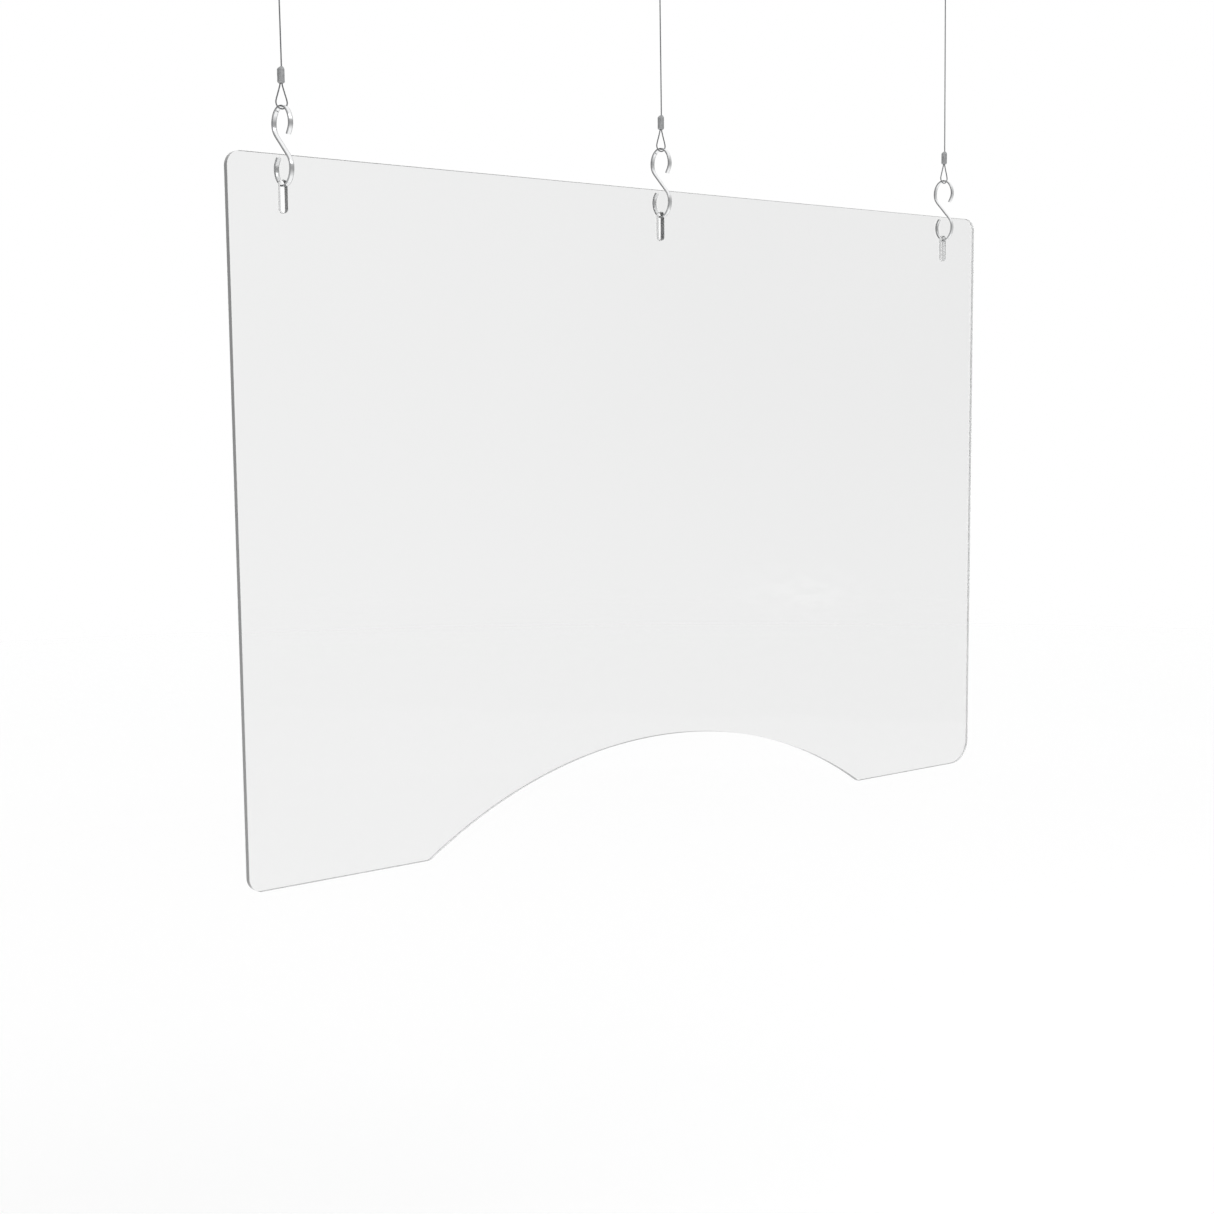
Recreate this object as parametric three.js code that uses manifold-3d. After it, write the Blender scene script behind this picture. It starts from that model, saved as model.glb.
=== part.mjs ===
// Hanging sneeze guard: a clear acrylic panel carried by three flat-strip S-hooks, three wire ropes
// and three ceiling plates with rings. Millimetres, +Z up, X along the panel, the customer's side at -Y.
// The origin is the middle of the centre ceiling plate's top face.

import * as THREE from 'three';
import * as BufferGeometryUtils from 'three/addons/utils/BufferGeometryUtils.js';
import Module from 'manifold-3d';

const wasm = await Module();
wasm.setup();

// ---- Driving dimensions ----

const GAP = 0.3; // air kept between neighbouring pieces

const SIDES = { left: -406.4, centre: 0, right: 406.4 }; // X of each hanging line

const PANEL = {
  width: 914.4, height: 609.6, thickness: 5.6, topZ: -300,
  restX: -0.45, restY: 2, // its middle, off the line of the hooks, as it rests in their loops
  cornerRadius: 12.7, lowerRightRadius: 25.4,
  slotWidth: 6.7, slotTop: 20.45, slotLength: 26.95,
  archRadius: 508, archRise: 82.5, footRadius: 4,
  curveSteps: 12,
};

const HOOK = {
  height: 65.5, width: 22.8, strip: 4.8, thickness: 1.55,
  loopDepth: 14.7, // from each end to the widest place of its loop
  tipInset: 3.4, tipRise: 9.2, // the tip's centre line: in from the widest place, and down from it
  diagonalAngle: THREE.MathUtils.degToRad(50),
  turn: THREE.MathUtils.degToRad(100), // direction of the hook's own plane, seen from above
  seatDrop: 4.2, // the strip's upper face below the top of the slot
  steps: 10,
};

const ROPE = { radius: 0.6, sections: 8, steps: 64, seat: 1.1 };
// Half of an eye: [across, along] from the main strand's last straight point to the end of the eye.
// Along is measured from the end of the eye towards the sleeve.
const HALF_EYE = [
  [0.75, 34], [0.75, 21.2], [1.2, 18.6], [3.05, 12.7], [4.96, 6.77],
  [5.17, 4.6], [4.26, 2.22], [2.44, 0.61], [0, 0],
];
const TAIL_END = 33;

const FERRULE = { width: 5.9, depth: 5.4, length: 13.4, start: 20.35, strandOffset: 0.75 };

const RING = { wire: 1.5, radius: 9.5, cornerRadius: 4, straight: 6, steps: 6, sections: 10 };

const PLATE = {
  width: 14, length: 46, thickness: 2, holeOffset: 15, holeRadius: 2.3,
  boss: 8, bossRadius: 3.6, bore: 1.9, curveSteps: 8,
};

const SCREW = { headRadius: 3.6, headHeight: 2.5, shankRadius: 2, length: 25, steps: 16 };

// ---- Derived places ----

const HOOK_BOTTOM = PANEL.topZ - PANEL.slotTop - HOOK.seatDrop - HOOK.thickness;
const HOOK_Z = HOOK_BOTTOM + HOOK.height / 2;
const LOWER_EYE_END = HOOK_BOTTOM + HOOK.height - HOOK.thickness - ROPE.seat - ROPE.radius;
const BAR_Z = -PLATE.thickness - 2;
const RING_CENTRE_Z = BAR_Z - RING.cornerRadius - RING.straight;
const UPPER_EYE_END = RING_CENTRE_Z - RING.radius + RING.wire + GAP + ROPE.radius;

// ---- Materials ----

const material = (color, roughness, metalness) =>
  new THREE.MeshStandardMaterial({ color, roughness, metalness });

const acrylic = () => {
  const clear = material(0xe9eeee, 0.05, 0);
  clear.transparent = true;
  clear.opacity = 0.35;
  return clear;
};
const brightSteel = () => material(0xd4d6d8, 0.15, 1);
const ropeSteel = () => material(0x9fa2a5, 0.4, 1);
const dullAluminium = () => material(0xa3a6a8, 0.5, 1);
const zincSteel = () => material(0xb4b7ba, 0.35, 1);

// ---- Helpers ----

function addPiece(group, name, geometry, look) {
  const mesh = new THREE.Mesh(geometry, look);
  mesh.name = name;
  group.add(mesh);
  return mesh;
}

// A box-ended or obround outline centred on (x, y), with its long axis along Y.
function obround(target, x, y, width, length) {
  const r = width / 2;
  const reach = length / 2 - r;
  target.absarc(x, y + reach, r, 0, Math.PI, false);
  target.absarc(x, y - reach, r, Math.PI, 2 * Math.PI, false);
  target.closePath();
  return target;
}

function toManifold(geometry) {
  const bare = geometry.clone();
  bare.deleteAttribute('normal');
  bare.deleteAttribute('uv');
  const merged = BufferGeometryUtils.mergeVertices(bare, 1e-4);
  return new wasm.Manifold(new wasm.Mesh({
    numProp: 3,
    vertProperties: merged.attributes.position.array,
    triVerts: merged.index.array,
  }));
}

function fromManifold(solid) {
  const { vertProperties, triVerts } = solid.getMesh();
  const geometry = new THREE.BufferGeometry();
  geometry.setAttribute('position', new THREE.BufferAttribute(vertProperties, 3));
  geometry.setIndex(new THREE.BufferAttribute(triVerts, 1));
  geometry.computeVertexNormals();
  return geometry;
}

// A round tube that follows a closed flat outline in the XZ plane.
function closedTube(outline, radius, sections) {
  const positions = [];
  const index = [];
  const count = outline.length;
  outline.forEach((point, i) => {
    const before = outline[(i + count - 1) % count];
    const after = outline[(i + 1) % count];
    const tangent = new THREE.Vector2().subVectors(after, before).normalize();
    for (let k = 0; k < sections; k++) {
      const angle = (2 * Math.PI * k) / sections;
      const across = radius * Math.cos(angle);
      positions.push(point.x + tangent.y * across, radius * Math.sin(angle), point.y - tangent.x * across);
      const [a, b] = [i * sections + k, i * sections + ((k + 1) % sections)];
      const [c, d] = [((i + 1) % count) * sections + k, ((i + 1) % count) * sections + ((k + 1) % sections)];
      index.push(a, b, c, b, d, c);
    }
  });
  const geometry = new THREE.BufferGeometry();
  geometry.setAttribute('position', new THREE.Float32BufferAttribute(positions, 3));
  geometry.setIndex(index);
  geometry.computeVertexNormals();
  return geometry;
}

// ---- Acrylic panel ----

function panelOutline() {
  const { width, height, cornerRadius: r, lowerRightRadius: big } = PANEL;
  const { archRadius, archRise, footRadius: foot } = PANEL;
  const left = -width / 2;
  const right = width / 2;
  const drop = archRadius - archRise; // the arch's centre below the bottom edge
  const footX = Math.sqrt((archRadius + foot) ** 2 - (drop + foot) ** 2);
  const lean = Math.atan2(drop + foot, footX); // from the arch's centre to the right foot's centre

  const outline = new THREE.Shape();
  outline.absarc(left + r, -r, r, Math.PI, Math.PI / 2, true);
  outline.absarc(right - r, -r, r, Math.PI / 2, 0, true);
  outline.absarc(right - big, big - height, big, 0, -Math.PI / 2, true);
  outline.absarc(footX, foot - height, foot, -Math.PI / 2, -Math.PI + lean, true);
  outline.absarc(0, -height - drop, archRadius, lean, Math.PI - lean, false);
  outline.absarc(-footX, foot - height, foot, -lean, -Math.PI / 2, true);
  outline.absarc(left + r, r - height, r, -Math.PI / 2, -Math.PI, true);
  outline.closePath();
  return outline;
}

function acrylicPanel() {
  const outline = panelOutline();
  for (const x of Object.values(SIDES)) {
    const middle = -PANEL.slotTop - PANEL.slotLength / 2;
    outline.holes.push(obround(new THREE.Path(), x, middle, PANEL.slotWidth, PANEL.slotLength));
  }
  const geometry = new THREE.ExtrudeGeometry(outline, {
    depth: PANEL.thickness, bevelEnabled: false, curveSegments: PANEL.curveSteps,
  });
  geometry.translate(0, 0, -PANEL.thickness / 2);
  geometry.rotateX(Math.PI / 2);
  geometry.translate(PANEL.restX, PANEL.restY, PANEL.topZ);
  return geometry;
}

// ---- S-hook ----

// Centre line of the upper half, from the open tip over the loop to the middle of the diagonal.
function hookHalf() {
  const halfWidth = (HOOK.width - HOOK.thickness) / 2;
  const loopHeight = HOOK.loopDepth - HOOK.thickness / 2;
  const widest = HOOK.height / 2 - HOOK.loopDepth;
  const tip = new THREE.Vector2(HOOK.tipInset - halfWidth, widest - HOOK.tipRise);
  const slope = new THREE.Vector2(Math.cos(HOOK.diagonalAngle), Math.sin(HOOK.diagonalAngle));
  return [
    new THREE.CubicBezierCurve(
      tip,
      new THREE.Vector2(tip.x - HOOK.tipInset * 0.55, tip.y + HOOK.tipRise * 0.35),
      new THREE.Vector2(-halfWidth, widest - HOOK.tipRise * 0.4),
      new THREE.Vector2(-halfWidth, widest)),
    new THREE.EllipseCurve(0, widest, halfWidth, loopHeight, Math.PI, 0, true),
    new THREE.CubicBezierCurve(
      new THREE.Vector2(halfWidth, widest),
      new THREE.Vector2(halfWidth, widest * 0.58),
      slope.clone().multiplyScalar(halfWidth),
      new THREE.Vector2(0, 0)),
  ];
}

function hookOutline() {
  const stations = [];
  hookHalf().forEach((curve, i) => {
    const steps = i === 1 ? 2 * HOOK.steps : HOOK.steps;
    for (let k = i === 0 ? 0 : 1; k <= steps; k++) {
      stations.push({ at: curve.getPoint(k / steps), along: curve.getTangent(k / steps) });
    }
  });
  const lower = stations.slice(0, -1).reverse()
    .map(({ at, along }) => ({ at: at.clone().negate(), along }));
  const line = [...stations, ...lower];
  const offset = (side) => line.map(({ at, along }) =>
    new THREE.Vector2(at.x - side * along.y, at.y + side * along.x));
  const half = HOOK.thickness / 2;
  return new THREE.Shape([...offset(half), ...offset(-half).reverse()]);
}

function sHook() {
  const geometry = new THREE.ExtrudeGeometry(hookOutline(), { depth: HOOK.strip, bevelEnabled: false });
  geometry.translate(0, 0, -HOOK.strip / 2);
  geometry.applyMatrix4(new THREE.Matrix4().makeBasis(
    new THREE.Vector3(Math.cos(HOOK.turn), Math.sin(HOOK.turn), 0),
    new THREE.Vector3(0, 0, 1),
    new THREE.Vector3(Math.sin(HOOK.turn), -Math.cos(HOOK.turn), 0)));
  return geometry;
}

// ---- Wire rope and its sleeves ----

// The rope bends most at its eyes, so its sections are spread over the route's points, not its length.
class RopeRoute extends THREE.CatmullRomCurve3 {
  getPointAt(t, target) {
    return this.getPoint(t, target);
  }

  getTangentAt(t, target) {
    return this.getTangent(t, target);
  }
}

// Tail, lower eye, main strand, upper eye, tail. The lower eye lies in XZ and the upper one in YZ.
function ropeRoute() {
  const main = HALF_EYE;
  const tail = [...HALF_EYE.slice(1, -1).map(([across, along]) => [-across, along])];
  tail[0][0] = -FERRULE.strandOffset;
  tail.unshift([-FERRULE.strandOffset, TAIL_END]);
  const lower = [...tail, ...main.slice().reverse()]
    .map(([across, along]) => new THREE.Vector3(across, 0, LOWER_EYE_END + along));
  const upper = [...main, ...tail.slice().reverse()]
    .map(([across, along]) => new THREE.Vector3(0, across, UPPER_EYE_END - along));
  return [...lower, ...upper];
}

function wireRope() {
  const section = new THREE.Shape();
  for (let k = 0; k < ROPE.sections; k++) {
    const angle = (2 * Math.PI * k) / ROPE.sections;
    const move = k === 0 ? 'moveTo' : 'lineTo';
    section[move](ROPE.radius * Math.cos(angle), ROPE.radius * Math.sin(angle));
  }
  section.closePath();
  return new THREE.ExtrudeGeometry(section, {
    steps: ROPE.steps, extrudePath: new RopeRoute(ropeRoute()),
  });
}

// A sleeve around two strands that lie side by side along X.
function ferrule() {
  const outer = new THREE.Shape();
  outer.absellipse(0, 0, FERRULE.width / 2, FERRULE.depth / 2, 0, 2 * Math.PI, false, 0);
  const bore = ROPE.radius + GAP;
  const hole = new THREE.Path();
  hole.absarc(FERRULE.strandOffset, 0, bore, -Math.PI / 2, Math.PI / 2, false);
  hole.absarc(-FERRULE.strandOffset, 0, bore, Math.PI / 2, 1.5 * Math.PI, false);
  hole.closePath();
  outer.holes.push(hole);
  return new THREE.ExtrudeGeometry(outer, { depth: FERRULE.length, bevelEnabled: false, curveSegments: 10 });
}

// ---- Ceiling fitting ----

function hangingRing() {
  const { radius, cornerRadius, straight, steps, wire, sections } = RING;
  const outline = new THREE.Shape();
  outline.absarc(0, -cornerRadius - straight, radius, Math.PI, 2 * Math.PI, false);
  outline.absarc(radius - cornerRadius, -cornerRadius, cornerRadius, 0, Math.PI / 2, false);
  outline.absarc(cornerRadius - radius, -cornerRadius, cornerRadius, Math.PI / 2, Math.PI, false);
  outline.closePath();
  const points = outline.getPoints(steps);
  points.pop();
  return closedTube(points, wire, sections);
}

function ceilingPlate() {
  const base = obround(new THREE.Shape(), 0, 0, PLATE.width, PLATE.length);
  for (const y of [-PLATE.holeOffset, PLATE.holeOffset]) {
    const hole = new THREE.Path();
    hole.absarc(0, y, PLATE.holeRadius, 0, 2 * Math.PI, false);
    base.holes.push(hole);
  }
  const flat = new THREE.ExtrudeGeometry(base, {
    depth: PLATE.thickness, bevelEnabled: false, curveSegments: PLATE.curveSteps,
  });
  flat.translate(0, 0, -PLATE.thickness);

  // The saddle under the plate: extruded along X, drawn in YZ.
  const side = new THREE.Shape();
  side.moveTo(PLATE.bossRadius, -PLATE.thickness / 2);
  side.lineTo(-PLATE.bossRadius, -PLATE.thickness / 2);
  side.absarc(0, BAR_Z, PLATE.bossRadius, Math.PI, 2 * Math.PI, false);
  side.closePath();
  const bore = new THREE.Path();
  bore.absarc(0, BAR_Z, PLATE.bore, 0, 2 * Math.PI, false);
  side.holes.push(bore);
  const saddle = new THREE.ExtrudeGeometry(side, {
    depth: PLATE.boss, bevelEnabled: false, curveSegments: PLATE.curveSteps,
  });
  saddle.translate(0, 0, -PLATE.boss / 2);
  saddle.applyMatrix4(new THREE.Matrix4().makeBasis(
    new THREE.Vector3(0, 1, 0), new THREE.Vector3(0, 0, 1), new THREE.Vector3(1, 0, 0)));
  return fromManifold(toManifold(flat).add(toManifold(saddle)));
}

// Pan-head screw, driven upwards: the head hangs under the plate and the point is above it.
function plateScrew() {
  const { headRadius, headHeight, shankRadius, length, steps } = SCREW;
  const under = -PLATE.thickness - GAP;
  const tip = under + length;
  const profile = [[0, under - headHeight]];
  for (let k = 1; k <= 4; k++) {
    const angle = (k / 4) * (Math.PI / 2);
    profile.push([headRadius * Math.sin(angle), under - headHeight * Math.cos(angle) ** 0.8]);
  }
  profile[profile.length - 1][1] = under - 0.6;
  profile.push([headRadius, under], [shankRadius, under], [shankRadius, tip - 5], [0, tip]);
  return new THREE.LatheGeometry(profile.map(([x, y]) => new THREE.Vector2(x, y)), steps)
    .rotateX(Math.PI / 2);
}

// ---- Assembly ----

const sneezeGuard = new THREE.Group();
addPiece(sneezeGuard, 'acrylic_panel', acrylicPanel(), acrylic());

for (const [side, x] of Object.entries(SIDES)) {
  const line = new THREE.Group();
  line.position.x = x;
  sneezeGuard.add(line);

  addPiece(line, `ceiling_plate_${side}`, ceilingPlate(), zincSteel());
  for (const [place, y] of [['front', -PLATE.holeOffset], ['back', PLATE.holeOffset]]) {
    addPiece(line, `plate_screw_${side}_${place}`, plateScrew(), zincSteel()).position.y = y;
  }
  addPiece(line, `hanging_ring_${side}`, hangingRing(), zincSteel()).position.z = BAR_Z;

  addPiece(line, `wire_rope_${side}`, wireRope(), ropeSteel());
  addPiece(line, `lower_ferrule_${side}`, ferrule(), dullAluminium())
    .position.z = LOWER_EYE_END + FERRULE.start;
  const upper = addPiece(line, `upper_ferrule_${side}`, ferrule(), dullAluminium());
  upper.position.z = UPPER_EYE_END - FERRULE.start - FERRULE.length;
  upper.rotation.z = Math.PI / 2;

  addPiece(line, `s_hook_${side}`, sHook(), brightSteel()).position.z = HOOK_Z;
}

export default sneezeGuard;
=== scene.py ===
"""Hanging sneeze guard: a clear acrylic panel on three S-hooks and wire ropes. Metres, +Z up, front at -Y."""
import math

import bmesh
import bpy
from mathutils import Matrix, Vector


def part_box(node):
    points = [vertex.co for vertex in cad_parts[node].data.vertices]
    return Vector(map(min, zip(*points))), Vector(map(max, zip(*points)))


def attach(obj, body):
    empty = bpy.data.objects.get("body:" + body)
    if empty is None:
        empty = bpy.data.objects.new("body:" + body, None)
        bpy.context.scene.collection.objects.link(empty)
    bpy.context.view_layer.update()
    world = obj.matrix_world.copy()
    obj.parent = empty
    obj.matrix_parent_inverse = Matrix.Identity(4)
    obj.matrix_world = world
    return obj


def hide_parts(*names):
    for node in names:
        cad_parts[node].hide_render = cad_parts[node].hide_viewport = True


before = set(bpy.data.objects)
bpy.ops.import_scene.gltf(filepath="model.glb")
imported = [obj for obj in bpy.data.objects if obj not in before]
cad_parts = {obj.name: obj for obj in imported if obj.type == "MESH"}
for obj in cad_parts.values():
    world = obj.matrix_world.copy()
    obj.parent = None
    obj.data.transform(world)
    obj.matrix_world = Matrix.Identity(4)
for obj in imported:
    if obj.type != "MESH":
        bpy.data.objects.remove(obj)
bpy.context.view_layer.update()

# ---- Dimensions shared with the CAD model, in metres ----

MM = 0.001
SIDES = ("left", "centre", "right")

CORNER_RADIUS = 12.7 * MM
LOWER_RIGHT_RADIUS = 25.4 * MM
SLOT_WIDTH = 6.7 * MM
SLOT_TOP = 20.45 * MM
SLOT_LENGTH = 26.95 * MM
ARCH_RADIUS = 508 * MM
ARCH_RISE = 82.5 * MM
FOOT_RADIUS = 4 * MM

HOOK_STRIP = 4.8 * MM
HOOK_THICKNESS = 1.55 * MM
HOOK_HEIGHT = 65.5 * MM
HOOK_WIDTH = 22.8 * MM
HOOK_LOOP_DEPTH = 14.7 * MM
HOOK_TIP_INSET = 3.4 * MM
HOOK_TIP_RISE = 9.2 * MM
HOOK_DIAGONAL = math.radians(50)
HOOK_TURN = math.radians(100)

ROPE_RADIUS = 0.6 * MM
# Half of a rope's eye: (across, along) in millimetres, along measured from the end of the eye.
HALF_EYE = [
    (0.75, 34), (0.75, 21.2), (1.2, 18.6), (3.05, 12.7), (4.96, 6.77),
    (5.17, 4.6), (4.26, 2.22), (2.44, 0.61), (0, 0),
]
TAIL_END = 33

RING_WIRE = 1.5 * MM
RING_RADIUS = 9.5 * MM
RING_CORNER = 4 * MM
RING_STRAIGHT = 6 * MM

PLATE_HOLE_OFFSET = 15 * MM
PLATE_HOLE_RADIUS = 2.3 * MM
PLATE_THICKNESS = 2 * MM
SADDLE_WIDTH = 8 * MM
SADDLE_RADIUS = 3.6 * MM
SADDLE_BORE = 1.9 * MM

SCREW_SHANK = 2 * MM
SCREW_GAP = 0.3 * MM  # between the plate and the screw's head

# ---- Places read from the frame ----

panel_low, panel_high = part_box("acrylic_panel")
panel_middle = (panel_low + panel_high) / 2
side_x = {s: sum(v.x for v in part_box(f"s_hook_{s}")) / 2 for s in SIDES}
hook_z = sum(v.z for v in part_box("s_hook_centre")) / 2
lower_eye_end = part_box("wire_rope_centre")[0].z + ROPE_RADIUS
upper_eye_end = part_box("wire_rope_centre")[1].z - ROPE_RADIUS
bar_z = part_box("hanging_ring_centre")[1].z - RING_WIRE


# ---- Mesh helpers ----

FLAT_EDGES = math.radians(8)  # keeps broad flat faces flat beside their rounded edges


def make_piece(name, bm, materials, smooth_angle=math.radians(35)):
    """A mesh object from a bmesh, with its materials, smooth where its faces meet at less than the angle."""
    bmesh.ops.recalc_face_normals(bm, faces=bm.faces)
    mesh = bpy.data.meshes.new(name)
    bm.to_mesh(mesh)
    bm.free()
    for material in materials:
        mesh.materials.append(material)
    mesh.shade_smooth()
    mesh.set_sharp_from_angle(angle=smooth_angle)
    obj = bpy.data.objects.new(name, mesh)
    bpy.context.scene.collection.objects.link(obj)
    return obj


def install(obj, body, slot, *nodes):
    """The piece stands for the CAD nodes and moves with the body."""
    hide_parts(*nodes)
    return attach(obj, body)


def loft(bm, rings, closed=False):
    """Joins rings of equally many points in order, with a cap at each end unless the loft closes."""
    made = [[bm.verts.new(p) for p in ring] for ring in rings]
    count = len(made[0])
    pairs = list(zip(made, made[1:]))
    if closed:
        pairs.append((made[-1], made[0]))
    for one, two in pairs:
        for k in range(count):
            nxt = (k + 1) % count
            bm.faces.new((one[k], one[nxt], two[nxt], two[k]))
    if not closed:
        bm.faces.new(made[0])
        bm.faces.new(made[-1])


def arc(cx, cy, radius, start, end, steps):
    """Points of an arc, both ends included. Angles in radians."""
    return [
        (cx + radius * math.cos(start + (end - start) * k / steps),
         cy + radius * math.sin(start + (end - start) * k / steps))
        for k in range(steps + 1)
    ]


def catmull_rom(points, per_span):
    """A centripetal Catmull-Rom line through the points, as in the CAD model."""
    ends = [2 * points[0] - points[1], *points, 2 * points[-1] - points[-2]]
    line = []
    for p0, p1, p2, p3 in zip(ends, ends[1:], ends[2:], ends[3:]):
        d0, d1, d2 = ((b - a).length ** 0.5 for a, b in ((p0, p1), (p1, p2), (p2, p3)))
        m1 = ((p1 - p0) / d0 - (p2 - p0) / (d0 + d1) + (p2 - p1) / d1) * d1
        m2 = ((p2 - p1) / d1 - (p3 - p1) / (d1 + d2) + (p3 - p2) / d2) * d1
        for k in range(per_span):
            t = k / per_span
            line.append(
                p1 * (2 * t ** 3 - 3 * t ** 2 + 1) + m1 * (t ** 3 - 2 * t ** 2 + t)
                + p2 * (3 * t ** 2 - 2 * t ** 3) + m2 * (t ** 3 - t ** 2)
            )
    line.append(points[-1])
    return line


def even_steps(line, step):
    """The same line as points an equal distance apart."""
    total = sum((b - a).length for a, b in zip(line, line[1:]))
    count = max(2, round(total / step))
    spaced, walked, goal = [line[0]], 0.0, total / count
    for a, b in zip(line, line[1:]):
        span = (b - a).length
        while walked + span >= goal - 1e-12 and len(spaced) < count:
            spaced.append(a.lerp(b, (goal - walked) / span))
            goal += total / count
        walked += span
    spaced.append(line[-1])
    return spaced


def line_frames(line):
    """(point, side, up) along a line, turned as little as possible from one point to the next."""
    frames = []
    side = None
    for i, point in enumerate(line):
        tangent = (line[min(i + 1, len(line) - 1)] - line[max(i - 1, 0)]).normalized()
        if side is None:
            side = tangent.orthogonal().normalized()
        side = (side - tangent * side.dot(tangent)).normalized()
        frames.append((point, side, tangent.cross(side)))
    return frames


def filled_outline(name, loops, thickness, edge_break, stand):
    """A bmesh of a flat outline with holes, given its thickness and broken edges, then stood in place."""
    curve = bpy.data.curves.new(name, "CURVE")
    curve.dimensions = "2D"
    curve.fill_mode = "BOTH"
    curve.extrude = thickness / 2 - edge_break
    curve.bevel_depth = edge_break
    curve.bevel_resolution = 3
    curve.offset = -edge_break
    for loop in loops:
        spline = curve.splines.new("POLY")
        spline.points.add(len(loop) - 1)
        for point, (x, y) in zip(spline.points, loop):
            point.co = (x, y, 0, 1)
        spline.use_cyclic_u = True
    flat = bpy.data.objects.new(name, curve)
    bm = bmesh.new()
    bm.from_mesh(bpy.data.meshes.new_from_object(flat))
    bpy.data.objects.remove(flat)
    bmesh.ops.remove_doubles(bm, verts=bm.verts, dist=1e-6)
    bmesh.ops.transform(bm, matrix=stand, verts=bm.verts)
    return bm


# ---- Material helpers ----

class Nodes:
    """A new procedural material, with short calls for the nodes used below."""

    def __init__(self, name):
        self.material = bpy.data.materials.new(name)
        self.material.use_nodes = True
        self.tree = self.material.node_tree
        self.shader = self.tree.nodes["Principled BSDF"]
        self.place = self.tree.nodes.new("ShaderNodeTexCoord").outputs["Object"]

    def add(self, kind, inputs=None, **settings):
        node = self.tree.nodes.new(kind)
        for key, value in settings.items():
            setattr(node, key, value)
        for key, value in (inputs or {}).items():
            if isinstance(value, bpy.types.NodeSocket):
                self.tree.links.new(value, node.inputs[key])
            else:
                node.inputs[key].default_value = value
        return node

    def scaled(self, scale):
        return self.add("ShaderNodeMapping", {"Vector": self.place, "Scale": scale}).outputs["Vector"]

    def noise(self, scale, detail=3.0, place=None, distortion=0.0):
        inputs = {"Vector": place or self.place, "Scale": scale, "Detail": detail, "Distortion": distortion}
        return self.add("ShaderNodeTexNoise", inputs).outputs["Fac"]

    def spread(self, value, low, high, start=0.3, stop=0.7):
        """The value, from start to stop, spread over low to high."""
        inputs = {"Value": value, "From Min": start, "From Max": stop, "To Min": low, "To Max": high}
        return self.add("ShaderNodeMapRange", inputs).outputs["Result"]

    def blend(self, factor, one, two):
        node = self.add("ShaderNodeMix", {"Factor": factor}, data_type="RGBA")
        node.inputs[6].default_value = (*one, 1)
        node.inputs[7].default_value = (*two, 1)
        return node.outputs[2]

    def maths(self, operation, one, two):
        return self.add("ShaderNodeMath", {0: one, 1: two}, operation=operation).outputs["Value"]

    def bump(self, height, strength, distance, under=None):
        inputs = {"Height": height, "Strength": strength, "Distance": distance}
        if under is not None:
            inputs["Normal"] = under
        return self.add("ShaderNodeBump", inputs).outputs["Normal"]

    def finish(self, **inputs):
        for key, value in inputs.items():
            socket = self.shader.inputs[key.replace("_", " ")]
            if isinstance(value, bpy.types.NodeSocket):
                self.tree.links.new(value, socket)
            else:
                socket.default_value = value
        return self.material


def acrylic_face():
    """Clear sheet: a faint tint, a slight roll to its surface, wiping marks and a few hairlines."""
    n = Nodes("acrylic_face")
    tint = n.blend(n.noise(2.5, 2), (0.876, 0.878, 0.877), (0.892, 0.893, 0.892))
    wiping = n.spread(n.noise(9, 4, n.scaled((1, 1, 0.35)), 0.6), 0.0, 0.02, 0.45, 0.75)
    hairline = n.spread(n.noise(60, 2, n.scaled((0.4, 1, 14))), 0.0, 0.03, 0.72, 0.78)
    roll = n.bump(n.noise(4, 1), 0.2, 0.002)
    return n.finish(
        Base_Color=tint, Roughness=n.maths("ADD", n.maths("ADD", wiping, hairline), 0.008),
        Normal=roll, IOR=1.49, Transmission_Weight=1.0,
    )


def acrylic_shaded_edge():
    """The polished cut edge: greyer and softer than the faces, in patches. The grey is painted shade on the
    sheet's outline.
    """
    n = Nodes("acrylic_shaded_edge")
    patches = n.noise(22, 3)
    tint = n.blend(n.spread(patches, 0, 1), (0.80, 0.81, 0.81), (0.86, 0.865, 0.865))
    return n.finish(
        Base_Color=tint, Roughness=n.spread(patches, 0.02, 0.05),
        Normal=n.bump(n.noise(90, 2), 0.05, 0.0002), IOR=1.49, Transmission_Weight=0.74,
    )


def bright_plate(name, dark, light):
    """Bright plated strip with rolling streaks, cloudy handling marks and small pits."""
    n = Nodes(name)
    cloud = n.noise(240, 3)
    tint = n.blend(n.spread(cloud, 0, 1), dark, light)
    streaks = n.noise(700, 2, n.scaled((1, 0.25, 0.25)))
    rough = n.maths("ADD", n.spread(cloud, 0.05, 0.14), n.spread(streaks, 0.0, 0.05))
    pits = n.noise(1600, 2)
    return n.finish(
        Base_Color=tint, Metallic=1.0, Roughness=rough,
        Normal=n.bump(pits, 0.12, 0.00008, n.bump(streaks, 0.18, 0.00006)),
    )


def rope_wire():
    """Galvanised strand: grey zinc, darker and duller in patches."""
    n = Nodes("rope_wire")
    cloud = n.noise(420, 3)
    tint = n.blend(n.spread(cloud, 0, 1), (0.16, 0.165, 0.17), (0.27, 0.275, 0.28))
    grain = n.noise(5200, 2)
    return n.finish(
        Base_Color=tint, Metallic=0.9, Roughness=n.spread(cloud, 0.32, 0.5),
        Normal=n.bump(grain, 0.3, 0.00003),
    )


def crimped_sleeve():
    """Matte aluminium sleeve, marked along its length by the crimping die."""
    n = Nodes("crimped_sleeve")
    cloud = n.noise(380, 4)
    tint = n.blend(n.spread(cloud, 0, 1), (0.33, 0.335, 0.34), (0.45, 0.455, 0.46))
    drag = n.noise(2600, 2, n.scaled((1, 1, 0.12)))
    return n.finish(
        Base_Color=tint, Metallic=0.85, Roughness=n.spread(cloud, 0.42, 0.6),
        Normal=n.bump(drag, 0.35, 0.00008, n.bump(cloud, 0.3, 0.0001)),
    )


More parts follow.
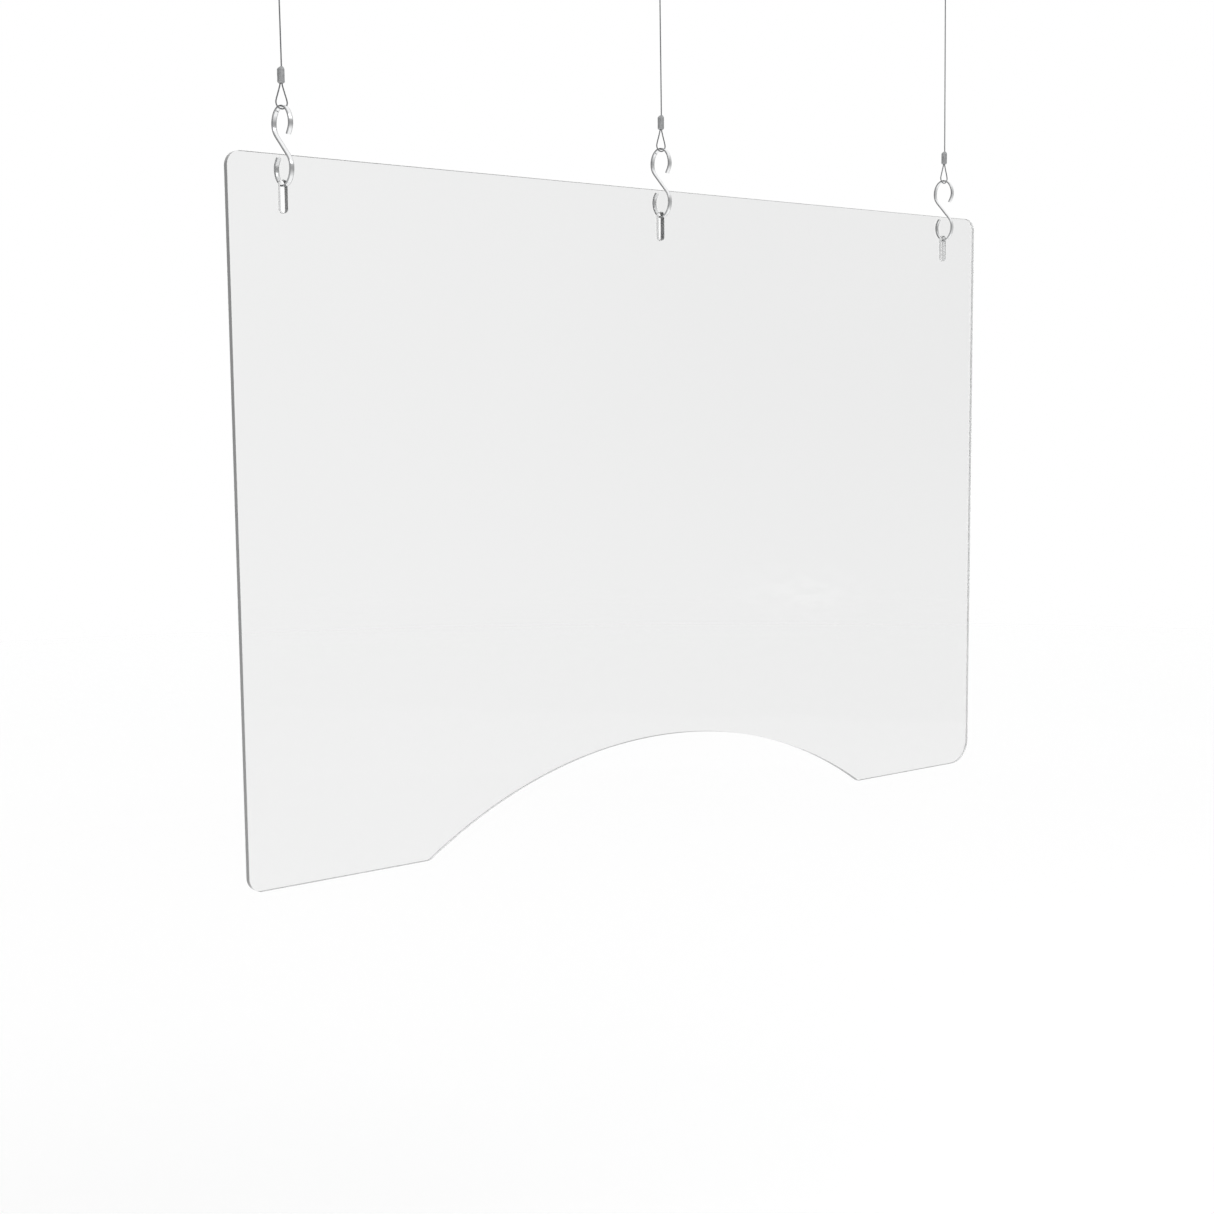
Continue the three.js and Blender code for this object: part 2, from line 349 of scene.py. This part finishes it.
def zinc_steel(name, dark, light):
    """Zinc-plated steel with a faint crystal pattern and rub marks."""
    n = Nodes(name)
    crystal = n.add("ShaderNodeTexVoronoi", {"Vector": n.place, "Scale": 520.0}).outputs["Color"]
    cloud = n.noise(160, 4)
    mixed = n.maths("ADD", n.maths("MULTIPLY", crystal, 0.35), n.maths("MULTIPLY", cloud, 0.65))
    tint = n.blend(n.spread(mixed, 0, 1, 0.2, 0.8), dark, light)
    rub = n.noise(1300, 3, n.scaled((1, 0.3, 1)))
    return n.finish(
        Base_Color=tint, Metallic=0.95, Roughness=n.spread(mixed, 0.24, 0.42, 0.2, 0.8),
        Normal=n.bump(rub, 0.2, 0.00006),
    )


# ---- Camera ----

CAMERA_FROM_PANEL = Vector((-1.15799, -1.35110, -0.22072))  # from the middle of its front top edge
CAMERA_HEADING = math.radians(38.802)  # clockwise from +Y
CAMERA_TILT = math.radians(-6.323)
CAMERA_ROLL = math.radians(-0.533)
CAMERA_LENS = 54.13
CAMERA_SHIFT_Y = 0.01506


def make_camera():
    data = bpy.data.cameras.new("camera")
    data.lens = CAMERA_LENS
    data.sensor_width = 36
    data.shift_y = CAMERA_SHIFT_Y
    data.clip_start = 0.01
    camera = bpy.data.objects.new("camera", data)
    bpy.context.scene.collection.objects.link(camera)
    turn = Matrix.Rotation(-CAMERA_HEADING, 4, "Z") @ Matrix.Rotation(math.pi / 2 + CAMERA_TILT, 4, "X")
    place = Vector((panel_middle.x, panel_low.y, panel_high.z)) + CAMERA_FROM_PANEL
    camera.matrix_world = Matrix.Translation(place) @ turn @ Matrix.Rotation(CAMERA_ROLL, 4, "Z")
    bpy.context.scene.camera = camera


# ---- Wire ropes ----

STRANDS = 6
STRAND_RADIUS = ROPE_RADIUS / 3
STRAND_CIRCLE = ROPE_RADIUS - STRAND_RADIUS
VALLEY_RADIUS = 0.44 * MM  # where neighbouring strands meet over the core
LOBE_STEPS = 7
ROPE_LAY = 7.5 * MM
ROPE_STEP = 0.5 * MM


def rope_route(x):
    """Tail, lower eye, main strand, upper eye, tail. The lower eye lies in XZ and the upper one in YZ."""
    tail = [(-across, along) for across, along in HALF_EYE[1:-1]]
    tail = [(-HALF_EYE[0][0], TAIL_END), *tail]
    lower = [Vector((x + a * MM, 0, lower_eye_end + b * MM)) for a, b in [*tail, *reversed(HALF_EYE)]]
    upper = [Vector((x, a * MM, upper_eye_end - b * MM)) for a, b in [*HALF_EYE, *reversed(tail)]]
    return [*lower, *upper]


def rope_section():
    """(angle, radius) round the rope: six strands side by side."""
    section = []
    for k in range(STRANDS * LOBE_STEPS):
        angle = 2 * math.pi * k / (STRANDS * LOBE_STEPS)
        lobe = 2 * math.pi / STRANDS
        off = (angle + lobe / 2) % lobe - lobe / 2
        reach = STRAND_RADIUS ** 2 - (STRAND_CIRCLE * math.sin(off)) ** 2
        radius = STRAND_CIRCLE * math.cos(off) + math.sqrt(max(reach, 0.0))
        section.append((angle, max(radius, VALLEY_RADIUS)))
    return section


def make_rope(side, material):
    """Six strands laid round the rope's route. Returns the piece and its centre line."""
    line = even_steps(catmull_rom(rope_route(side_x[side]), 24), ROPE_STEP)
    rings = []
    for i, (point, across, up) in enumerate(line_frames(line)):
        twist = 2 * math.pi * i * ROPE_STEP / ROPE_LAY
        rings.append([
            point + (across * math.cos(angle + twist) + up * math.sin(angle + twist)) * radius
            for angle, radius in rope_section()
        ])
    bm = bmesh.new()
    loft(bm, rings)
    rope = make_piece(f"rope_{side}", bm, [material], math.radians(70))
    install(rope, f"cable_{side}", "rope_steel", f"wire_rope_{side}")
    return rope, line


# ---- Ferrules ----

FERRULE_LENGTH = 13.4 * MM
FERRULE_BORE = 0.62 * MM  # radius
STRAND_OFFSET = 0.75 * MM
FERRULE_SIDES = 48
FERRULE_NECK = 0.44  # the size share where the sleeve ends on the rope
# (height share, size share): rounded at the eye, straight, then a taper onto the rope.
FERRULE_PROFILE = [
    (0.0, 0.66), (0.012, 0.76), (0.035, 0.88), (0.065, 0.96), (0.10, 1.0), (0.30, 0.985), (0.50, 1.0),
    (0.70, 0.99), (0.81, 1.0), (0.86, 0.95), (0.91, 0.82), (0.955, 0.64), (0.985, 0.50), (1.0, FERRULE_NECK),
]
FERRULE_SQUARENESS = 2.5  # power of the squeezed section: 2 is an ellipse, more is squarer


def ferrule_outer(shift, half_width, half_depth):
    """Ring round the squeezed sleeve, moved across by the shift."""
    power = FERRULE_SQUARENESS
    ring = []
    for k in range(FERRULE_SIDES):
        angle = 2 * math.pi * k / FERRULE_SIDES
        c, s = math.cos(angle), math.sin(angle)
        size = (abs(c) ** power + abs(s) ** power) ** (-1 / power)
        ring.append((shift + c * size * half_width, s * size * half_depth))
    return ring


def ferrule_bore(shift, offset):
    """Ring close round the strands: two side by side, or one where the offset is nothing."""
    ring = []
    for k in range(FERRULE_SIDES):
        angle = 2 * math.pi * (k + 0.5) / FERRULE_SIDES
        c, s = math.cos(angle), math.sin(angle)
        ring.append((shift + math.copysign(offset, c) + FERRULE_BORE * c, FERRULE_BORE * s))
    return ring


def make_ferrule(side, level, material):
    """The crimped sleeve of one eye, from the eye's end to the rope's, with a bore that fits the strands."""
    node = f"{level}_ferrule_{side}"
    low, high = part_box(node)
    up = 1 if level == "lower" else -1
    base = low.z if up > 0 else high.z
    middle, half = (low + high) / 2, (high - low) / 2
    across, depth = Vector((1, 0, 0)), Vector((0, 1, 0))
    wide, deep = half.x, half.y
    if level == "upper":
        across, depth, wide, deep = depth, across, deep, wide

    def lay(ring, share):
        centre = Vector((middle.x, middle.y, base + up * share * FERRULE_LENGTH))
        return [centre + across * a + depth * b for a, b in ring]

    rings = []
    for height, share in FERRULE_PROFILE:
        # The taper draws in to the one strand that leaves the sleeve as the rope.
        taper = (1 - share) / (1 - FERRULE_NECK) if height > 0.5 else 0.0
        rings.append(lay(ferrule_outer(STRAND_OFFSET * taper, share * wide, share * deep), height))
    # The bore runs back from the rope to the eye: one strand, then two side by side.
    rings += [lay(ferrule_bore(STRAND_OFFSET, 0.0), height) for height in (0.985, 0.95)]
    rings += [lay(ferrule_bore(0.0, STRAND_OFFSET), height) for height in (0.90, 0.02)]
    bm = bmesh.new()
    loft(bm, rings, closed=True)
    sleeve = make_piece(f"sleeve_{level}_{side}", bm, [material], math.radians(40))
    return install(sleeve, f"cable_{side}", "ferrule_aluminium", node)


# ---- Acrylic panel ----

EDGE_BREAK = 0.35 * MM
BROAD_FACE = 0.98  # a face whose unit normal has more of Y than this belongs to a broad side


def panel_loops():
    """The outline and the three slots, as (x, z) points."""
    left, right, top, bottom = panel_low.x, panel_high.x, panel_high.z, panel_low.z
    middle = panel_middle.x
    r, big, foot = CORNER_RADIUS, LOWER_RIGHT_RADIUS, FOOT_RADIUS
    drop = ARCH_RADIUS - ARCH_RISE
    foot_x = math.sqrt((ARCH_RADIUS + foot) ** 2 - (drop + foot) ** 2)
    lean = math.atan2(drop + foot, foot_x)
    quarter, half = math.pi / 2, math.pi
    outline = [
        *arc(left + r, top - r, r, half, quarter, 20),
        *arc(right - r, top - r, r, quarter, 0, 20),
        *arc(right - big, bottom + big, big, 0, -quarter, 28),
        *arc(middle + foot_x, bottom + foot, foot, -quarter, lean - half, 10),
        *arc(middle, bottom - drop, ARCH_RADIUS, lean, half - lean, 96),
        *arc(middle - foot_x, bottom + foot, foot, -lean, -quarter, 10),
        *arc(left + r, bottom + r, r, -quarter, -half, 20),
    ]
    slots = []
    for line in side_x.values():
        x = middle + line - side_x["centre"]
        w = SLOT_WIDTH / 2
        high = top - SLOT_TOP - w
        low = top - SLOT_TOP - SLOT_LENGTH + w
        slots.append([*arc(x, high, w, 0, half, 30), *arc(x, low, w, half, 2 * half, 30)])
    return [outline, *slots]


def make_panel(face, edge):
    """The sheet, stood up in the XZ plane: clear faces, and cut edges and edge breaks greyed with painted
    shade.
    """
    thickness = panel_high.y - panel_low.y
    stand = Matrix.Translation((0, panel_middle.y, 0)) @ Matrix.Rotation(math.pi / 2, 4, "X")
    bm = filled_outline("panel_outline", panel_loops(), thickness, EDGE_BREAK, stand)
    bm.normal_update()
    # Edges and edge breaks take the greyer material: painted shade along the sheet's outline.
    for f in bm.faces:
        f.material_index = 0 if abs(f.normal.y) > BROAD_FACE else 1
    panel = make_piece("panel_sheet", bm, [face, edge], FLAT_EDGES)
    return install(panel, "panel", "clear_acrylic", "acrylic_panel")


# ---- S-hooks ----

STRIP_EDGE = 0.85 * MM  # how far the rounded edge reaches in over the broad face
STRIP_EDGE_DEPTH = 0.55 * MM
STRIP_EDGE_STEPS = 7
HOOK_END_BREAK = 0.18 * MM


def hook_line():
    """Centre line of the S in its own plane, as (point, tangent), from the upper tip to the lower one."""
    half_width = (HOOK_WIDTH - HOOK_THICKNESS) / 2
    loop_height = HOOK_LOOP_DEPTH - HOOK_THICKNESS / 2
    widest = HOOK_HEIGHT / 2 - HOOK_LOOP_DEPTH
    tip = Vector((HOOK_TIP_INSET - half_width, widest - HOOK_TIP_RISE))
    tip_curve = (
        tip,
        Vector((tip.x - HOOK_TIP_INSET * 0.55, tip.y + HOOK_TIP_RISE * 0.35)),
        Vector((-half_width, widest - HOOK_TIP_RISE * 0.4)),
        Vector((-half_width, widest)),
    )
    slope = Vector((math.cos(HOOK_DIAGONAL), math.sin(HOOK_DIAGONAL)))
    diagonal = (
        Vector((half_width, widest)), Vector((half_width, widest * 0.58)),
        slope * half_width, Vector((0, 0)),
    )

    def bezier(corners, t):
        a, b, c, d = corners
        point = a * (1 - t) ** 3 + b * 3 * t * (1 - t) ** 2 + c * 3 * t ** 2 * (1 - t) + d * t ** 3
        along = (b - a) * (1 - t) ** 2 + (c - b) * 2 * t * (1 - t) + (d - c) * t ** 2
        return point, along.normalized()

    upper = [bezier(tip_curve, k / 16) for k in range(16)]
    for k in range(48):
        angle = math.pi * (1 - k / 48)
        point = Vector((half_width * math.cos(angle), widest + loop_height * math.sin(angle)))
        along = Vector((half_width * math.sin(angle), -loop_height * math.cos(angle)))
        upper.append((point, along.normalized()))
    upper += [bezier(diagonal, k / 24) for k in range(25)]
    return upper + [(-point, along) for point, along in reversed(upper[:-1])]


def strip_section(inset=0.0):
    """Section of the flat strip, its edges rounded: (across the thickness, across the width)."""
    half_width, half_thickness = HOOK_STRIP / 2 - inset, HOOK_THICKNESS / 2 - inset
    depth = STRIP_EDGE_DEPTH - inset / 2
    section = []
    for quarter, (sx, sy) in enumerate(((1, 1), (-1, 1), (-1, -1), (1, -1))):
        for step in range(STRIP_EDGE_STEPS + 1):
            angle = math.radians(90 * (quarter + step / STRIP_EDGE_STEPS))
            across = sx * (half_thickness - depth) + depth * math.cos(angle)
            along = sy * (half_width - STRIP_EDGE) + STRIP_EDGE * math.sin(angle)
            section.append((across, along))
    return section


def make_hook(side, broad, edge):
    """The bent strip, with one material on its broad faces and a darker copy of it, painted shade, on its
    rounded edges.
    """
    centre = Vector((side_x[side], 0, hook_z))
    plane_x = Vector((math.cos(HOOK_TURN), math.sin(HOOK_TURN), 0))
    plane_z = Vector((0, 0, 1))
    width = plane_x.cross(plane_z)

    def ring(point, along, inset=0.0, push=0.0):
        out = Vector((-along.y, along.x))
        at = centre + plane_x * (point.x + along.x * push) + plane_z * (point.y + along.y * push)
        side_out = plane_x * out.x + plane_z * out.y
        return [at + side_out * a + width * b for a, b in strip_section(inset)]

    start, *middle, end = hook_line()
    rings = [ring(*start, inset=HOOK_END_BREAK), ring(*start, push=HOOK_END_BREAK)]
    rings += [ring(point, along) for point, along in middle]
    rings += [ring(*end, push=-HOOK_END_BREAK), ring(*end, inset=HOOK_END_BREAK)]
    bm = bmesh.new()
    loft(bm, rings)
    # The rounded edges take the darker copy of the plating: painted shade.
    for f in bm.faces:
        reach = abs((f.calc_center_median() - centre).dot(width))
        f.material_index = 1 if reach > HOOK_STRIP / 2 - STRIP_EDGE else 0
    hook = make_piece(f"hook_{side}", bm, [broad, edge], math.radians(40))
    return install(hook, f"hook_{side}", "hook_steel", f"s_hook_{side}")


# ---- Ceiling fittings ----

RING_SIDES = 20
WELD_Z = -7 * MM  # the butt weld's middle, from the bar, on the ring's right side
WELD_REACH = 1.1 * MM
WELD_SWELL = 0.07

PLATE_EDGE_BREAK = 0.3 * MM

SCREW_SIDES = 40
SCREW_POINT = 5 * MM
THREAD_PITCH = 1.6 * MM
THREAD_RINGS = 8  # rings in one turn of the thread


def make_ring(side, material):
    """The D-shaped ring, with its butt weld on its right side."""
    low = -RING_CORNER - RING_STRAIGHT
    inner = RING_RADIUS - RING_CORNER
    line = [
        *arc(0, low, RING_RADIUS, math.pi, 2 * math.pi, 56),
        *arc(inner, -RING_CORNER, RING_CORNER, 0, math.pi / 2, 14),
        *[(inner * (1 - k / 6), 0) for k in range(1, 12)],
        *arc(-inner, -RING_CORNER, RING_CORNER, math.pi / 2, math.pi, 14),
    ]
    rings = []
    for i, (x, z) in enumerate(line):
        ahead = Vector(line[(i + 1) % len(line)]) - Vector(line[i - 1])
        out = Vector((ahead.y, 0, -ahead.x)).normalized()
        from_weld = math.hypot(x - RING_RADIUS, z - WELD_Z)
        wire = RING_WIRE * (1 + WELD_SWELL * math.exp(-(from_weld / WELD_REACH) ** 2))
        centre = Vector((side_x[side] + x, 0, bar_z + z))
        turns = (2 * math.pi * k / RING_SIDES for k in range(RING_SIDES))
        rings.append([centre + (out * math.cos(a) + Vector((0, 1, 0)) * math.sin(a)) * wire for a in turns])
    bm = bmesh.new()
    loft(bm, rings, closed=True)
    ring = make_piece(f"ring_{side}", bm, [material], math.radians(60))
    return install(ring, f"ring_{side}", "ring_steel", f"hanging_ring_{side}")


def make_plate(side, material):
    """The plate with its two screw holes, and the bored saddle under it."""
    low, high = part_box(f"ceiling_plate_{side}")
    x = side_x[side]
    r = (high.x - low.x) / 2
    reach = (high.y - low.y) / 2 - r
    half = math.pi
    outline = [*arc(0, reach, r, 0, half, 24), *arc(0, -reach, r, half, 2 * half, 24)]
    places = (-PLATE_HOLE_OFFSET, PLATE_HOLE_OFFSET)
    holes = [arc(0, y, PLATE_HOLE_RADIUS, 0, 2 * half, 56)[:-1] for y in places]
    bm = filled_outline(
        "plate", [outline, *holes], PLATE_THICKNESS, PLATE_EDGE_BREAK,
        Matrix.Translation((x, 0, -PLATE_THICKNESS / 2)),
    )
    # The saddle's outline is drawn in YZ, up into the plate, and given its width along X.
    saddle = [
        (SADDLE_RADIUS, -PLATE_THICKNESS * 0.75), (-SADDLE_RADIUS, -PLATE_THICKNESS * 0.75),
        *arc(0, bar_z, SADDLE_RADIUS, half, 2 * half, 24),
    ]
    bore = arc(0, bar_z, SADDLE_BORE, 0, 2 * half, 56)[:-1]
    turn = Matrix(((0, 0, 1, x), (1, 0, 0, 0), (0, 1, 0, 0), (0, 0, 0, 1)))
    saddle_mesh = bpy.data.meshes.new("saddle")
    saddle_bm = filled_outline("saddle", [saddle, bore], SADDLE_WIDTH, PLATE_EDGE_BREAK, turn)
    saddle_bm.to_mesh(saddle_mesh)
    saddle_bm.free()
    bm.from_mesh(saddle_mesh)
    plate = make_piece(f"plate_{side}", bm, [material], FLAT_EDGES)
    return install(plate, "ceiling_fittings", "zinc_plate", f"ceiling_plate_{side}")


def make_screw(side, place, material):
    """Pan-head screw, driven upwards, with a cross recess under its head and a threaded shank."""
    low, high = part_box(f"plate_screw_{side}_{place}")
    x, y = side_x[side], (low.y + high.y) / 2
    head_radius = (high.x - low.x) / 2
    under = -PLATE_THICKNESS - SCREW_GAP
    rim = under - 0.5 * MM  # where the head's dome meets its straight side
    angles = [2 * math.pi * k / SCREW_SIDES for k in range(SCREW_SIDES)]

    profile = []
    for k in range(1, 9):
        rise = (k / 8) * math.pi / 2
        profile.append((head_radius * math.sin(rise), rim - (rim - low.z) * math.cos(rise) ** 0.8))
    profile += [
        (head_radius * 0.985, under - 0.12 * MM), (head_radius * 0.94, under), (SCREW_SHANK * 0.8, under),
    ]
    rings = [[Vector((x + r * math.cos(a), y + r * math.sin(a), z)) for a in angles] for r, z in profile]

    count = round((high.z - under) / THREAD_PITCH * THREAD_RINGS)
    for i in range(1, count):
        z = under + (high.z - under) * i / count
        fade = min(1.0, (high.z - z) / SCREW_POINT)
        ring = []
        for a in angles:
            wave = ((z - under) / THREAD_PITCH - a / (2 * math.pi)) % 1.0
            crest = max(0.0, 1 - abs(wave - 0.5) * 3.2)
            r = SCREW_SHANK * (0.74 + 0.25 * crest) * max(fade, 0.05)
            ring.append(Vector((x + r * math.cos(a), y + r * math.sin(a), z)))
        rings.append(ring)
    bm = bmesh.new()
    loft(bm, rings)
    screw = make_piece(f"screw_{side}_{place}", bm, [material], math.radians(35))
    cut_cross(screw, x, y, low.z)
    return install(screw, "ceiling_fittings", "screw_steel", f"plate_screw_{side}_{place}")


def cut_cross(screw, x, y, z):
    """Cuts the tapered cross recess into the head."""
    bm = bmesh.new()
    for turn in (0, math.pi / 2):
        spin = Matrix.Rotation(turn, 3, "Z")
        rings = []
        # Height above the bottom of the head, half length and half width, in millimetres.
        for height, long, wide in ((-0.4, 2.3, 0.5), (0.0, 2.2, 0.5), (1.5, 0.9, 0.3)):
            corners = ((long, wide), (-long, wide), (-long, -wide), (long, -wide))
            middle = Vector((x, y, z + height * MM))
            rings.append([middle + spin @ Vector((a * MM, b * MM, 0)) for a, b in corners])
        loft(bm, rings)
    cutter = make_piece("cutter", bm, [], 0)
    modifier = screw.modifiers.new("cross", "BOOLEAN")
    modifier.operation = "DIFFERENCE"
    modifier.object = cutter
    modifier.solver = "EXACT"
    modifier.use_self = True
    bpy.context.view_layer.update()
    made = bpy.data.meshes.new_from_object(screw.evaluated_get(bpy.context.evaluated_depsgraph_get()))
    screw.modifiers.clear()
    screw.data = made
    bpy.data.objects.remove(cutter)


# ---- Studio ----

FLOOR_Z = -1.5
STUDIO_MIDDLE = Vector((0, 0, -0.4))
CARD_RADIUS = 0.5
CARD_GLOW_END = 0.49  # the glow is gone just inside the card's rim


def make_floor():
    """A pale round floor that fades out before its rim."""
    bm = bmesh.new()
    bmesh.ops.create_circle(bm, cap_ends=True, segments=96, radius=9)
    n = Nodes("floor_paint")
    n.finish(Base_Color=(0.99, 0.99, 0.99, 1), Roughness=0.9)
    distance = n.add("ShaderNodeVectorMath", {0: n.place}, operation="LENGTH").outputs["Value"]
    fade = n.spread(distance, 0.0, 1.0, 3.0, 8.5)
    clear = n.add("ShaderNodeBsdfTransparent").outputs[0]
    mixed = n.add("ShaderNodeMixShader", {0: fade, 1: n.shader.outputs[0], 2: clear}).outputs[0]
    n.tree.links.new(mixed, n.tree.nodes["Material Output"].inputs["Surface"])
    floor = make_piece("floor", bm, [n.material])
    floor.location.z = FLOOR_Z
    floor.visible_glossy = False


def make_light(name, place, target, size, power):
    data = bpy.data.lights.new(name, "AREA")
    data.shape = "RECTANGLE"
    data.size, data.size_y = size
    data.energy = power
    light = bpy.data.objects.new(name, data)
    bpy.context.scene.collection.objects.link(light)
    light.location = place
    light.rotation_euler = (target - Vector(place)).to_track_quat("-Z", "Y").to_euler()
    light.visible_camera = False


def make_card(name, place, size, glow, flat, seen_by=("glossy",), patchy=False):
    """A soft-edged card facing the studio's middle, seen in reflections only, by the named kinds of ray.

    Its glow fades out from its flat middle, given as a share of its size. A ray that has only passed
    through the sheet, with no reflection on its way, doesn't see it.
    """
    bm = bmesh.new()
    bmesh.ops.create_circle(bm, cap_ends=True, segments=64, radius=CARD_RADIUS)
    n = Nodes(name)
    distance = n.add("ShaderNodeVectorMath", {0: n.place}, operation="LENGTH").outputs["Value"]
    fade = n.spread(distance, 1.0, 0.0, flat * CARD_RADIUS, CARD_GLOW_END)
    if patchy:
        fade = n.maths("MULTIPLY", fade, n.spread(n.noise(7, 4), 0.0, 1.0, 0.42, 0.56))
    if "transmission" in seen_by:
        reflections = n.add("ShaderNodeLightPath").outputs["Glossy Depth"]
        fade = n.maths("MULTIPLY", fade, n.maths("MINIMUM", reflections, 1.0))
    shine = n.add("ShaderNodeEmission", {"Color": (glow, glow, glow, 1), "Strength": 1.0}).outputs[0]
    clear = n.add("ShaderNodeBsdfTransparent").outputs[0]
    mixed = n.add("ShaderNodeMixShader", {0: fade, 1: clear, 2: shine}).outputs[0]
    n.tree.links.new(mixed, n.tree.nodes["Material Output"].inputs["Surface"])
    card = make_piece(name, bm, [n.material])
    card.scale = (*size, 1)
    card.location = place
    card.rotation_euler = (STUDIO_MIDDLE - Vector(place)).to_track_quat("-Z", "Y").to_euler()
    for ray in ("camera", "diffuse", "glossy", "transmission", "volume_scatter", "shadow"):
        setattr(card, f"visible_{ray}", ray in seen_by)


def make_studio():
    """A white room with one weak light. Cards give the polished metal and the sheet something to reflect."""
    world = bpy.data.worlds.new("studio")
    world.use_nodes = True
    world.node_tree.nodes["Background"].inputs["Color"].default_value = (1, 1, 1, 1)
    world.node_tree.nodes["Background"].inputs["Strength"].default_value = 1.0
    bpy.context.scene.world = world
    bpy.context.scene.view_settings.view_transform = "Standard"
    make_light("key", (1.6, -2.2, 1.6), STUDIO_MIDDLE, (1.6, 1.2), 9)
    both = ("glossy", "transmission")
    make_card("card_front", (3.1, -2.6, 0.12), (9.0, 6.4), 0.40, 0.15, both)
    make_card("card_left", (-2.57, 1.55, 0.1), (4.6, 4.2), 0.22, 0.4)
    make_card("card_left_through", (-2.7, 1.6, -0.3), (5.4, 5.0), 0.78, 0.4, ("transmission",))
    make_card("card_near", (-2.6, -3.0, -0.2), (4.0, 4.0), 0.10, 0.4)
    make_card("card_right", (3.8, 0.9, -0.2), (2.6, 3.0), 0.06, 0.4)
    make_card("card_back", (1.9, 2.6, -0.1), (3.6, 3.6), 0.12, 0.3)
    make_card("card_bright", (1.62, -1.44, -0.89), (0.34, 0.16), 1.0, 0.2, patchy=True)
    make_floor()


# ---- Assembly ----

make_camera()
wire, sleeve_metal = rope_wire(), crimped_sleeve()
for side in SIDES:
    rope, line = make_rope(side, wire)
    sleeves = [make_ferrule(side, level, sleeve_metal) for level in ("lower", "upper")]

make_panel(acrylic_face(), acrylic_shaded_edge())
hook_broad = bright_plate("bright_plate", (0.86, 0.865, 0.87), (0.93, 0.935, 0.94))
# The same plating made darker for the strip's rounded edges: painted shade that outlines the hooks.
hook_shaded_edge = bright_plate("shaded_plate_edge", (0.38, 0.385, 0.39), (0.48, 0.485, 0.49))
ring_metal = zinc_steel("ring_zinc", (0.50, 0.51, 0.52), (0.66, 0.67, 0.68))
plate_metal = zinc_steel("plate_zinc", (0.46, 0.47, 0.485), (0.62, 0.635, 0.65))
screw_metal = zinc_steel("screw_zinc", (0.42, 0.43, 0.44), (0.60, 0.61, 0.62))
for side in SIDES:
    make_hook(side, hook_broad, hook_shaded_edge)
    make_ring(side, ring_metal)
    make_plate(side, plate_metal)
    for place in ("front", "back"):
        make_screw(side, place, screw_metal)
make_studio()
